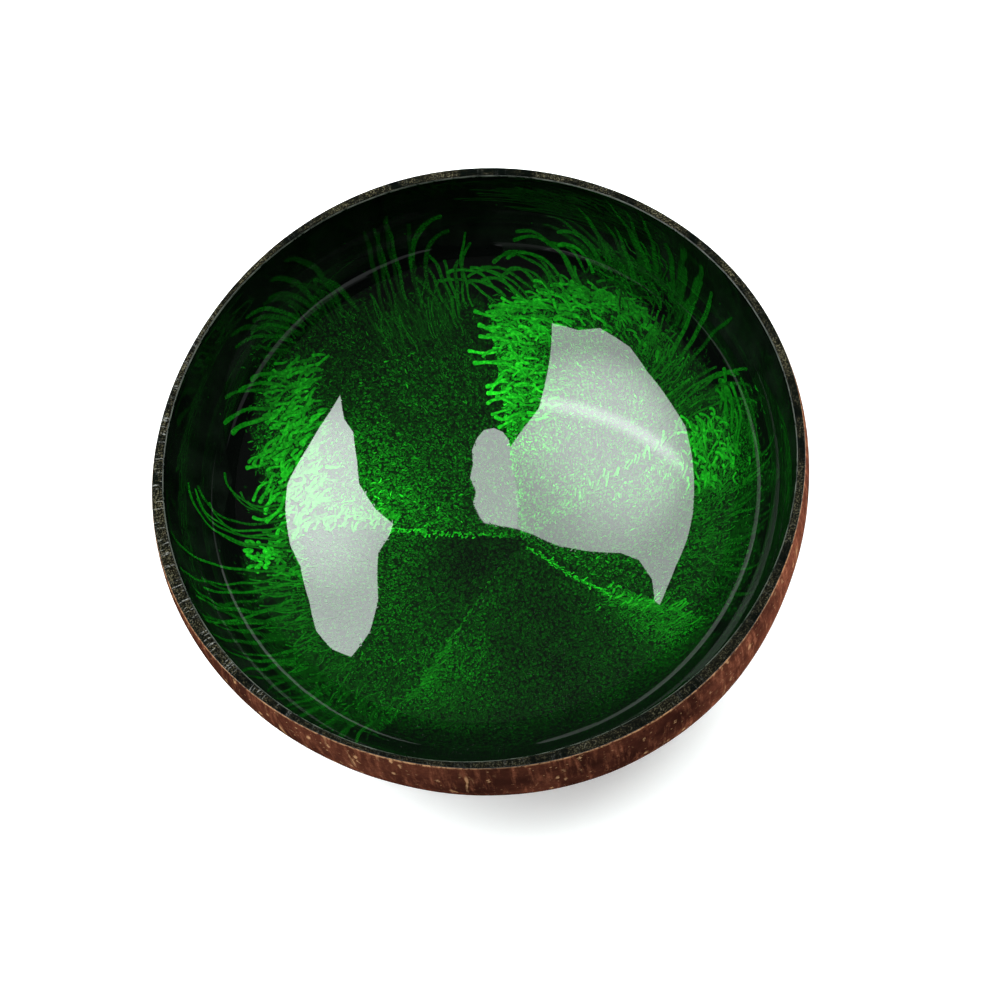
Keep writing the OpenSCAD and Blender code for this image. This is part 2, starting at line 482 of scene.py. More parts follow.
def green_pour():
    """The ground of a petal: fine green beads that thin to black where its spread runs out."""
    tones = settings().finish
    f = Finish("green_pour")
    place = f.place()
    level = f.attribute("level")
    spread = f.attribute("spread")
    streaks = f.noise(f.stretched(f.wrap("Flow"), 0.35, 1.6, 1.0), 1.0, 3.0, 0.6)
    patches = f.noise(place, 300, 3.0, 0.6)
    plan = f.wrap("Plan")
    coarse, coarse_parts = f.cells(plan, 1.0, flat=True)
    fine, fine_parts = f.cells(plan, 1.7, flat=True)
    coarse = f.times(f.spread(coarse, 0.48, 0.16), coarse_parts[1])
    fine = f.times(f.spread(fine, 0.52, 0.18), fine_parts[1])
    dots = f.calc("MAXIMUM", coarse, f.times(fine, 0.8))
    thin = f.calc("ADD", f.times(patches, 0.6), f.times(streaks, 0.6))
    keep = f.calc("ADD", spread, f.calc("SUBTRACT", thin, 0.6))
    keep = f.spread(keep, 0.25, 0.75)
    light = f.calc("MULTIPLY_ADD", dots, 2.2, 0.10)
    light = f.times(light, f.calc("MULTIPLY_ADD", streaks, 0.9, 0.55))
    light = f.times(f.times(light, keep), level)
    shade = f.mix(light, tones.black, tones.green)
    bump = f.bump(dots, 0.25, 0.00006)
    rough = f.spread(dots, 0.0, 1.0, 0.42, 0.58)
    return f.surface(LACQUER, Base_Color=shade, Roughness=rough, Normal=bump)


def green_strand():
    """Strands, dabs and drops: fuller along their middles, thin and dark at their edges."""
    tones = settings().finish
    f = Finish("green_strand")
    place = f.place()
    level = f.attribute("level")
    core = f.attribute("core")
    grit = f.noise(place, 1500, 2.0, 0.6)
    drift = f.noise(place, 320, 2.0)
    light = f.calc("MULTIPLY_ADD", f.spread(grit, 0.3, 0.7), 0.7, 0.6)
    light = f.times(light, f.calc("MULTIPLY_ADD", drift, 0.8, 0.6))
    light = f.times(light, f.spread(core, 0.0, 0.75, 0.22, 1.0))
    light = f.times(light, level)
    warm = f.mix(f.spread(grit, 0.45, 0.75), tones.green, tones.green_warm)
    shade = f.mix(light, tones.black, warm)
    bump = f.bump(core, 0.3, 0.00005)
    rough = f.spread(grit, 0.2, 0.8, 0.40, 0.55)
    return f.surface(LACQUER, Base_Color=shade, Roughness=rough, Normal=bump)


def black_lacquer():
    """Deep black with the faintest green dust and brush drift."""
    tones = settings().finish
    f = Finish("black_lacquer")
    place = f.place()
    drift = f.noise(f.stretched(place, 1.0, 1.0, 0.3), 160, 3.0, 0.6)
    dust, parts = f.cells(place, 900)
    speck = f.times(f.spread(dust, 0.3, 0.1), f.spread(parts[0], 0.95, 1.0))
    shade = f.mix(f.spread(drift, 0.3, 0.75), tones.black, tones.black_thin)
    shade = f.mix(f.times(speck, 0.04), shade, tones.green)
    rough = f.spread(drift, 0.3, 0.7, 0.40, 0.55)
    constants = dict(LACQUER)
    constants["Coat Weight"] = 0.35
    return f.surface(constants, Base_Color=shade, Roughness=rough)


def rim_lacquer():
    """Black over the sawn rim, specked with olive and scratched across towards the left."""
    tones = settings().finish
    f = Finish("rim_lacquer")
    place = f.place()
    parts = f.add("SeparateXYZ", {0: place}).outputs
    grit = f.noise(place, 3300, 2.0, 0.6)
    patch = f.noise(place, 160, 3.0, 0.65)
    back = f.spread(parts[1], *BACK_OF_RIM, 0.45, 1.0)
    olive = f.times(f.spread(grit, 0.50, 0.66), f.spread(patch, 0.34, 0.60))
    olive = f.times(olive, back)
    lines = f.noise(f.stretched(f.wrap(), 2.4, 0.25, 1.0), 1.0, 3.0, 0.6)
    left = f.spread(parts[0], *LEFT_OF_RIM, 0.10, 1.0)
    scratch = f.times(f.spread(lines, 0.57, 0.66), f.spread(grit, 0.35, 0.60))
    scratch = f.times(scratch, left)
    shade = f.mix(f.spread(patch, 0.35, 0.7), tones.black, tones.rim_black)
    shade = f.mix(olive, shade, tones.olive)
    shade = f.mix(scratch, shade, tones.scratches)
    rough = f.spread(scratch, 0.0, 1.0, 0.50, 0.7)
    height = f.calc("SUBTRACT", f.times(olive, 0.5), scratch)
    bump = f.bump(height, 0.4, 0.0001)
    constants = {"Specular IOR Level": 0.0}
    return f.surface(constants, Base_Color=shade, Roughness=rough, Normal=bump)


def clear_bead():
    """Clear lacquer pooled at the inner lip, faintly clouded: its own gloss, plus a grey colour
    that paints in part of the lip's highlight.
    """
    tones = settings().finish
    f = Finish("clear_bead")
    place = f.place()
    cloud = f.noise(place, 400, 3.0, 0.6)
    shade = f.mix(f.spread(cloud, 0.3, 0.7), tones.black_thin, tones.bead)
    rough = f.spread(cloud, 0.3, 0.7, 0.25, 0.4)
    bump = f.bump(cloud, 0.2, 0.0001)
    constants = {"Specular IOR Level": 0.25}
    return f.surface(constants, Base_Color=shade, Roughness=rough, Normal=bump)


def polished_shell():
    """Polished husk: brown with darker clouds, fibres along the nut, tan flecks and pits, with
    painted light that brightens one side.
    """
    tones = settings().finish
    f = Finish("polished_shell")
    place = f.place()
    parts = f.add("SeparateXYZ", {0: place}).outputs
    flat = f.add("CombineXYZ", {0: parts[0], 1: parts[1]}).outputs[0]
    around = f.scaled(f.vector("NORMALIZE", flat), FIBRE_RADIUS)
    rise = f.add("CombineXYZ", {2: parts[2]}).outputs[0]
    along = f.vector("ADD", around, rise)
    fibres = f.noise(f.stretched(along, 1.0, 1.0, 0.14), 700, 4.0, 0.65)
    threads = f.noise(f.stretched(along, 1.0, 1.0, 0.2), 380, 3.0, 0.6, 0.3)
    clouds = f.noise(place, 60, 4.0, 0.6)
    grain = f.noise(place, 1300, 3.0, 0.6)
    frayed = f.vector("ADD", along, f.ruffle(place, 1500, FRAY))
    flecks, fleck_parts = f.cells(f.stretched(frayed, 1.0, 1.0, 0.42), 620)
    dash = f.times(f.spread(flecks, 0.34, 0.10), f.spread(fleck_parts[0], 0.72, 0.95))
    specks, speck_parts = f.cells(frayed, 1250)
    speck = f.times(f.spread(specks, 0.34, 0.12), f.spread(speck_parts[0], 0.84, 0.96))
    pits, pit_parts = f.cells(place, 520)
    pit = f.times(f.spread(pits, 0.24, 0.10), f.spread(pit_parts[1], 0.86, 0.95))
    shade = f.mix(f.spread(clouds, 0.30, 0.66), tones.husk_dark, tones.husk_mid)
    shade = f.mix(f.spread(fibres, 0.46, 0.74), shade, tones.husk_light)
    # Painted light: the colour is brightened up to twice towards +X, on the side where the light
    # falls
    middling = f.calc("SUBTRACT", clouds, 0.5)
    drift = f.calc("MULTIPLY_ADD", middling, PAINTED_LIGHT_DRIFT, parts[0])
    shade = f.scaled(shade, f.spread(drift, *PAINTED_LIGHT_SPAN, 1.0, 2.0))
    shade = f.mix(f.spread(grain, 0.62, 0.40, 0.0, 0.35), shade, tones.husk_dark)
    gold = f.times(f.spread(threads, 0.63, 0.73), 0.6)
    shade = f.mix(gold, shade, tones.fleck)
    shade = f.mix(f.times(dash, 0.9), shade, tones.fleck)
    shade = f.mix(f.times(speck, 0.6), shade, tones.fleck)
    shade = f.mix(f.times(pit, 0.8), shade, tones.husk_dark)
    rim = f.calc("MULTIPLY_ADD", middling, WEAR_DRIFT, parts[2])
    worn = f.times(f.spread(rim, *WORN_EDGE), f.spread(grain, 0.35, 0.6))
    shade = f.mix(f.times(worn, 0.7), shade, tones.fleck)
    foot = f.spread(parts[2], *FOOT_EDGE)
    scores = f.noise(f.stretched(place, 1.0, 0.10, 1.0), 1500, 3.0, 0.6)
    bare = f.mix(f.spread(scores, 0.20, 0.75), tones.husk_light, tones.sanded)
    shade = f.mix(foot, shade, bare)
    rough = f.spread(fibres, 0.3, 0.7, 0.42, 0.6)
    rough = f.calc("MULTIPLY_ADD", foot, 0.25, rough)
    height = f.calc("MULTIPLY_ADD", fibres, 0.5, f.times(dash, 0.4))
    height = f.calc("SUBTRACT", height, f.times(pit, 0.8))
    bump = f.bump(height, 0.5, 0.00025)
    constants = {"Specular IOR Level": 0.0}
    return f.surface(constants, Base_Color=shade, Roughness=rough, Normal=bump)


def pale_floor():
    """The pale floor keeps its shadows, and a little glow carries it up to white."""
    s = settings().stage
    f = Finish("pale_floor")
    grain = f.noise(f.place(), 40, 3.0, 0.6)
    shade = f.mix(f.spread(grain, 0.2, 0.8), s.floor_tone, [c * 0.985 for c in s.floor_tone])
    rays = f.add("LightPath").outputs
    seen = f.calc("ADD", rays["Is Camera Ray"], rays["Is Glossy Ray"])
    seen = f.calc("ADD", seen, rays["Is Transmission Ray"], clamp=True)
    glow = f.times(seen, s.floor_glow)
    constants = {"Roughness": 0.9, "Specular IOR Level": 0.0}
    constants["Emission Color"] = (1, 1, 1, 1)
    return f.surface(constants, Base_Color=shade, Emission_Strength=glow)


def softbox_face(name, glow, extra=0.0, towards=(0, 0, 1), streak=0.0):
    """A softbox's cloth, brighter round the middle of its tube and along its streak."""
    s = settings().stage
    f = Finish(name)
    offset = f.vector("SUBTRACT", f.place(), (0, 0, settings().shape.rim_height))
    unit = f.vector("NORMALIZE", offset)
    hot = f.spread(f.closeness(unit, towards), 0.90, 1.0)
    strength = f.calc("MULTIPLY_ADD", hot, extra, glow)
    line = f.closeness(unit, direction(*STREAK_AXIS))
    off = f.calc("SUBTRACT", line, STREAK_CLOSENESS)
    band = f.spread(f.calc("ABSOLUTE", off), STREAK_WIDTH, 0.0)
    strength = f.calc("MULTIPLY_ADD", f.times(band, hot), streak, strength)
    emit = f.add("Emission", {"Color": rgba(s.box_tint), "Strength": strength})
    f.add("OutputMaterial", {"Surface": emit.outputs[0]})
    return f.material


# Shell, lining and bead


# Rings up the outside and the inside of the shell
NUT_RINGS, HOLLOW_RINGS = 64, 30
FOOT_BEVEL = 0.5 * MM
# The outer wall's dents reach their full depth at this height
DENT_DEPTH, DENTS_PER_METRE, DENTS_FULL = 0.18 * MM, 70, 6 * MM
# Lobes and dents move what lies within these depths of the nut's skin, and all below this height
SKIN, FOOT_HEIGHT = (1.2 * MM, 0.2 * MM), 0.8 * MM


def build_shell():
    """The nut's shell: turned from its section, then swollen into lobes and seams."""
    s = settings().shape
    top = s.rim_height - s.cap
    start = turn_at(top, s.nut_middle, s.nut_depth)
    foot = turn_at(0, s.nut_middle, s.nut_depth)
    outside = [nut_point(t) for t in np.linspace(start, foot, NUT_RINGS)]
    lip = turn_at(top, s.hollow_middle, s.hollow_depth)
    inside = [hollow_point(t, 0) for t in np.linspace(lip, QUARTER_TURN, HOLLOW_RINGS)]
    inside[-1] = (0, inside[-1][1])
    profile = [(0, 0)] + outside[::-1] + inside
    bm = turned(profile, s.steps)
    foot_radius = outside[-1][0]
    ring = [
        e
        for e in bm.edges
        if all(abs(v.co.z) < SAME_PLACE and v.co.xy.length > foot_radius - POLE for v in e.verts)
    ]
    bmesh.ops.bevel(
        bm,
        geom=ring,
        offset=FOOT_BEVEL,
        segments=3,
        profile=0.5,
        affect="EDGES",
        material=-1,
        clamp_overlap=True,
    )
    for v in bm.verts:
        radius = v.co.xy.length
        if radius < POLE:
            continue
        around = math.atan2(v.co.y, v.co.x)
        height = v.co.z
        turn = turn_at(height, s.nut_middle, s.nut_depth)
        outer = nut_point(turn)[0]
        share = float(smooth(radius, outer - SKIN[0], outer - SKIN[1]))
        share = max(share, float(height < FOOT_HEIGHT))
        swell = nut_wave(around) / s.nut_half_width * radius + seam_wave(around, turn)
        dent = 0.5 + 0.5 * noise.noise(v.co * DENTS_PER_METRE)
        dent = DENT_DEPTH * dent * float(smooth(height, 0.0, DENTS_FULL))
        v.co.xy *= 1 + share * (swell - dent) / radius
    return finish_piece("polished_shell", bm, [polished_shell()])


# Rings up the inside of the lining, round its lip and down its back
LINING_RINGS, LIP_RINGS, BACK_RINGS = 72, 6, 40
# The lacquer's rounded outer edge: how far inside the nut's edge and below the rim, in mm. Then
# it laps over the nut's edge and tucks in behind it.
ROUNDED_EDGE = ((0.6, 0.03), (0.28, 0.12), (0.08, 0.30))
EDGE_LAP, EDGE_TUCK = 0.01 * MM, 0.15 * MM
# The level rim lies this far below the full height. Its dents fade out this far below it, and
# the nut's lobes begin this far out from the lip.
RIM_DROP, RIM_DENT, RIM_DENTS_PER_METRE = 0.02 * MM, 0.12 * MM, 160
RIM_DENTS_END, LOBES_START = 0.4 * MM, 0.3 * MM
# The lining's back starts this far under its edge and lies this deep in the shell
BACK_DROP, BACK_DEPTH = 0.3 * MM, 0.2 * MM


def build_lining():
    """The black lining, over the sawn rim and out to its edge."""
    s = settings().shape
    coat = s.black_coat
    turned_in = turn_at(s.rim_height - s.lip_round, s.hollow_middle, s.hollow_depth - coat)
    inside = [hollow_point(t, coat) for t in np.linspace(QUARTER_TURN, turned_in, LINING_RINGS)]
    inside[0] = (0, inside[0][1])
    lip_in = inside[-1][0]
    lip = [
        (
            lip_in + s.lip_round * (1 - math.cos(a)),
            s.rim_height - s.lip_round * (1 - math.sin(a)),
        )
        for a in np.linspace(0.25, QUARTER_TURN, LIP_RINGS)
    ]
    outer = nut_point(turn_at(s.rim_height, s.nut_middle, s.nut_depth))[0]
    edge = [(outer - inward * MM, s.rim_height - drop * MM) for inward, drop in ROUNDED_EDGE]
    edge.append((outer + EDGE_LAP, s.rim_height - s.cap * 0.9))
    edge.append((outer - EDGE_TUCK, s.rim_height - s.cap - EDGE_TUCK / 3))
    flat = [
        (lip[-1][0] + (edge[0][0] - lip[-1][0]) * share, s.rim_height - RIM_DROP)
        for share in (0.35, 0.7)
    ]
    turned_back = turn_at(s.rim_height - s.cap - BACK_DROP, s.hollow_middle, s.hollow_depth)
    turns = np.linspace(turned_back, QUARTER_TURN, BACK_RINGS)
    back = [hollow_point(t, -BACK_DEPTH) for t in turns]
    back[-1] = (0, back[-1][1])
    bm = turned(inside + lip + flat + edge + back, s.steps)
    for v in bm.verts:
        radius = v.co.xy.length
        if radius < lip_in:
            continue
        around = math.atan2(v.co.y, v.co.x)
        share = float(smooth(radius, lip_in + LOBES_START, edge[0][0]))
        dent = 0.5 + 0.5 * noise.noise(Vector((v.co.x, v.co.y, 0)) * RIM_DENTS_PER_METRE)
        v.co.xy *= 1 + share * nut_wave(around) / s.nut_half_width
        dent *= float(smooth(v.co.z, s.rim_height - RIM_DENTS_END, s.rim_height))
        v.co.z -= RIM_DENT * dent
    polar_uv(bm, outer)
    for face in bm.faces:
        middle = face.calc_center_median()
        on_rim = middle.z > s.rim_height - s.lip_round * 0.7
        face.material_index = int(on_rim and middle.xy.length > lip_in)
    return finish_piece("black_lining", bm, [black_lacquer(), rim_lacquer()])


# The bead's own radius, how far below the rim it lies, and how far its middle sinks into the
# lining. Its thickness varies by this share.
BEAD_RADIUS, BEAD_DROP, BEAD_SINK = 0.26 * MM, 0.62 * MM, 0.04 * MM
BEAD_UNEVEN, BEAD_LUMPS_PER_METRE = 0.35, 90


def build_bead():
    """A fine bead of clear lacquer that pooled just inside the lip."""
    s = settings().shape
    height = s.rim_height - BEAD_DROP
    coat = s.black_coat
    turn = turn_at(height, s.hollow_middle, s.hollow_depth - coat)
    radius = hollow_point(turn, coat)[0] + BEAD_SINK
    bm = bmesh.new()
    bmesh.ops.create_circle(bm, cap_ends=False, segments=10, radius=BEAD_RADIUS)
    bmesh.ops.rotate(bm, verts=bm.verts, matrix=Matrix.Rotation(QUARTER_TURN, 3, "X"))
    bmesh.ops.translate(bm, verts=bm.verts, vec=(radius, 0, height))
    spin_round(bm, bm.verts[:] + bm.edges[:], s.steps)
    for v in bm.verts:
        thick = noise.noise(Vector((v.co.x, v.co.y, 0)) * BEAD_LUMPS_PER_METRE)
        v.co.z = height + (v.co.z - height) * (1 + BEAD_UNEVEN * thick)
    return finish_piece("clear_bead", bm, [clear_bead()])


# The poured petals

# Where a fact of a petal has several values, they lie evenly from its trailing to leading edge.
# edges: degrees round the pour. reach: of the dense body, in mm. tone: its light, and heart: its
# light near the pour. lean: how far its marks turn from straight outwards, in degrees. grain: how
# strongly its marks stand out from their ground. wall: how much it darkens up the wall.
PETALS = (
    {
        "edges": (13, 83.5),
        "reach": (55, 58, 62, 60, 54),
        "tone": (0.30, 0.31, 0.46),
        "heart": 0.34,
        "lean": (15, 70, 95),
        "grain": 0.9,
        "wall": 0.45,
    },
    {
        "edges": (83.5, 158),
        "reach": (60, 66, 72, 71, 58),
        "tone": (0.19, 0.21, 0.44),
        "heart": 0.25,
        "lean": (-5, 40, 70),
        "grain": 1.0,
        "wall": 0.2,
    },
    {
        "edges": (158, 226),
        "reach": (58, 60, 62, 63, 62),
        "tone": (0.30, 0.24, 0.23),
        "heart": 0.125,
        "lean": (-25, 0, 25),
        "grain": 0.75,
        "wall": 0.2,
    },
    {
        "edges": (226, 316),
        "reach": (66, 66, 66, 60, 52),
        "tone": (0.28, 0.19, 0.14, 0.18, 0.35),
        "heart": 0.16,
        "lean": (0, 5, 40),
        "grain": 0.4,
        "wall": 0.8,
    },
    {
        "edges": (316, 373),
        "reach": (54, 58, 61, 62, 60),
        "tone": (0.22, 0.25, 0.38),
        "heart": 0.25,
        "lean": (0, 30, 75),
        "grain": 0.9,
        "wall": 0.35,
    },
)

# How a strand swells from its root to its tip
STRAND_FORMS = {
    "worm": (0.75, 1.0, 0.95, 1.3),
    "thread": (0.8, 0.9, 0.85, 1.1),
    "frond": (1.5, 1.35, 1.0, 0.5),
    "hook": (0.7, 0.95, 1.15, 0.95),
}


class Spray:
    """A run of strands that start along a line on the plan and swing off it together.

    petal      the index in PETALS of the petal they belong to
    start      points in mm on the plan that the first row starts along
    heading    degrees at the first and last strand
    reach      length in mm at the first and last strand
    bend       degrees that a strand turns along its length, at the first and last strand
    count      strands in a row
    width      of a strand, in mm
    tone       light of the first and last strand
    rows, gap  how many rows lie behind each other, and how far apart in mm
    loose      how freely a strand departs from its neighbours
    clump      how far the strands run forward and back in clumps, in mm
    form       how a strand swells, in STRAND_FORMS
    """

    def __init__(self, petal, start, heading, reach, bend, count, **more):
        self.petal, self.start, self.heading = petal, start, heading
        self.reach, self.bend, self.count = reach, bend, count
        self.width = more.get("width", 1.0)
        self.tone = more.get("tone", (0.7, 0.7))
        self.rows = more.get("rows", 1)
        self.gap = more.get("gap", 2.2)
        self.loose = more.get("loose", 1.0)
        self.clump = more.get("clump", 1.2)
        self.form = STRAND_FORMS[more.get("form", "worm")]

    def start_at(self, share):
        points = self.start
        place = share * (len(points) - 1)
        first = min(int(place), len(points) - 2)
        part = place - first
        (ax, ay), (bx, by) = points[first], points[first + 1]
        return ax + (bx - ax) * part, ay + (by - ay) * part

    def strands(self, rng):
        """Every strand's centre line in mm, with its radius, tone and form."""
        phase = rng.uniform(0, 50)
        for row in range(self.rows):
            for index in range(self.count):
                share = (index + rng.uniform(0.05, 0.95)) / self.count
                ahead = noise.noise(Vector((share * self.count / 3.5, phase, row))) * 2
                yield self.strand(row, share, ahead * self.clump, rng)

    def strand(self, row, share, ahead, rng):
        def between(pair):
            return pair[0] + (pair[1] - pair[0]) * share

        x, y = self.start_at(share)
        heading = math.radians(between(self.heading) + rng.gauss(0, 9) * self.loose)
        back = row * self.gap + rng.uniform(-0.5, 0.5) * self.gap - ahead
        x -= math.cos(heading) * back
        y -= math.sin(heading) * back
        reach = between(self.reach) * rng.uniform(0.65, 1.2)
        bend = math.radians(between(self.bend) + rng.gauss(0, 18) * self.loose)
        radius = self.width / 2 * rng.uniform(0.72, 1.12)
        steps = max(5, min(18, round(reach / 0.9)))
        wiggle, sway = rng.uniform(0, FULL_TURN), rng.uniform(0.08, 0.30) * self.loose
        points = []
        for k in range(steps + 1):
            along = k / steps
            points.append((x, y))
            turn = heading + bend * along**1.8
            turn += sway * math.sin(wiggle + along * reach * 0.7)
            x += math.cos(turn) * reach / steps
            y += math.sin(turn) * reach / steps
        tone = between(self.tone) * rng.uniform(0.78, 1.15)
        return points, radius, tone, self.form


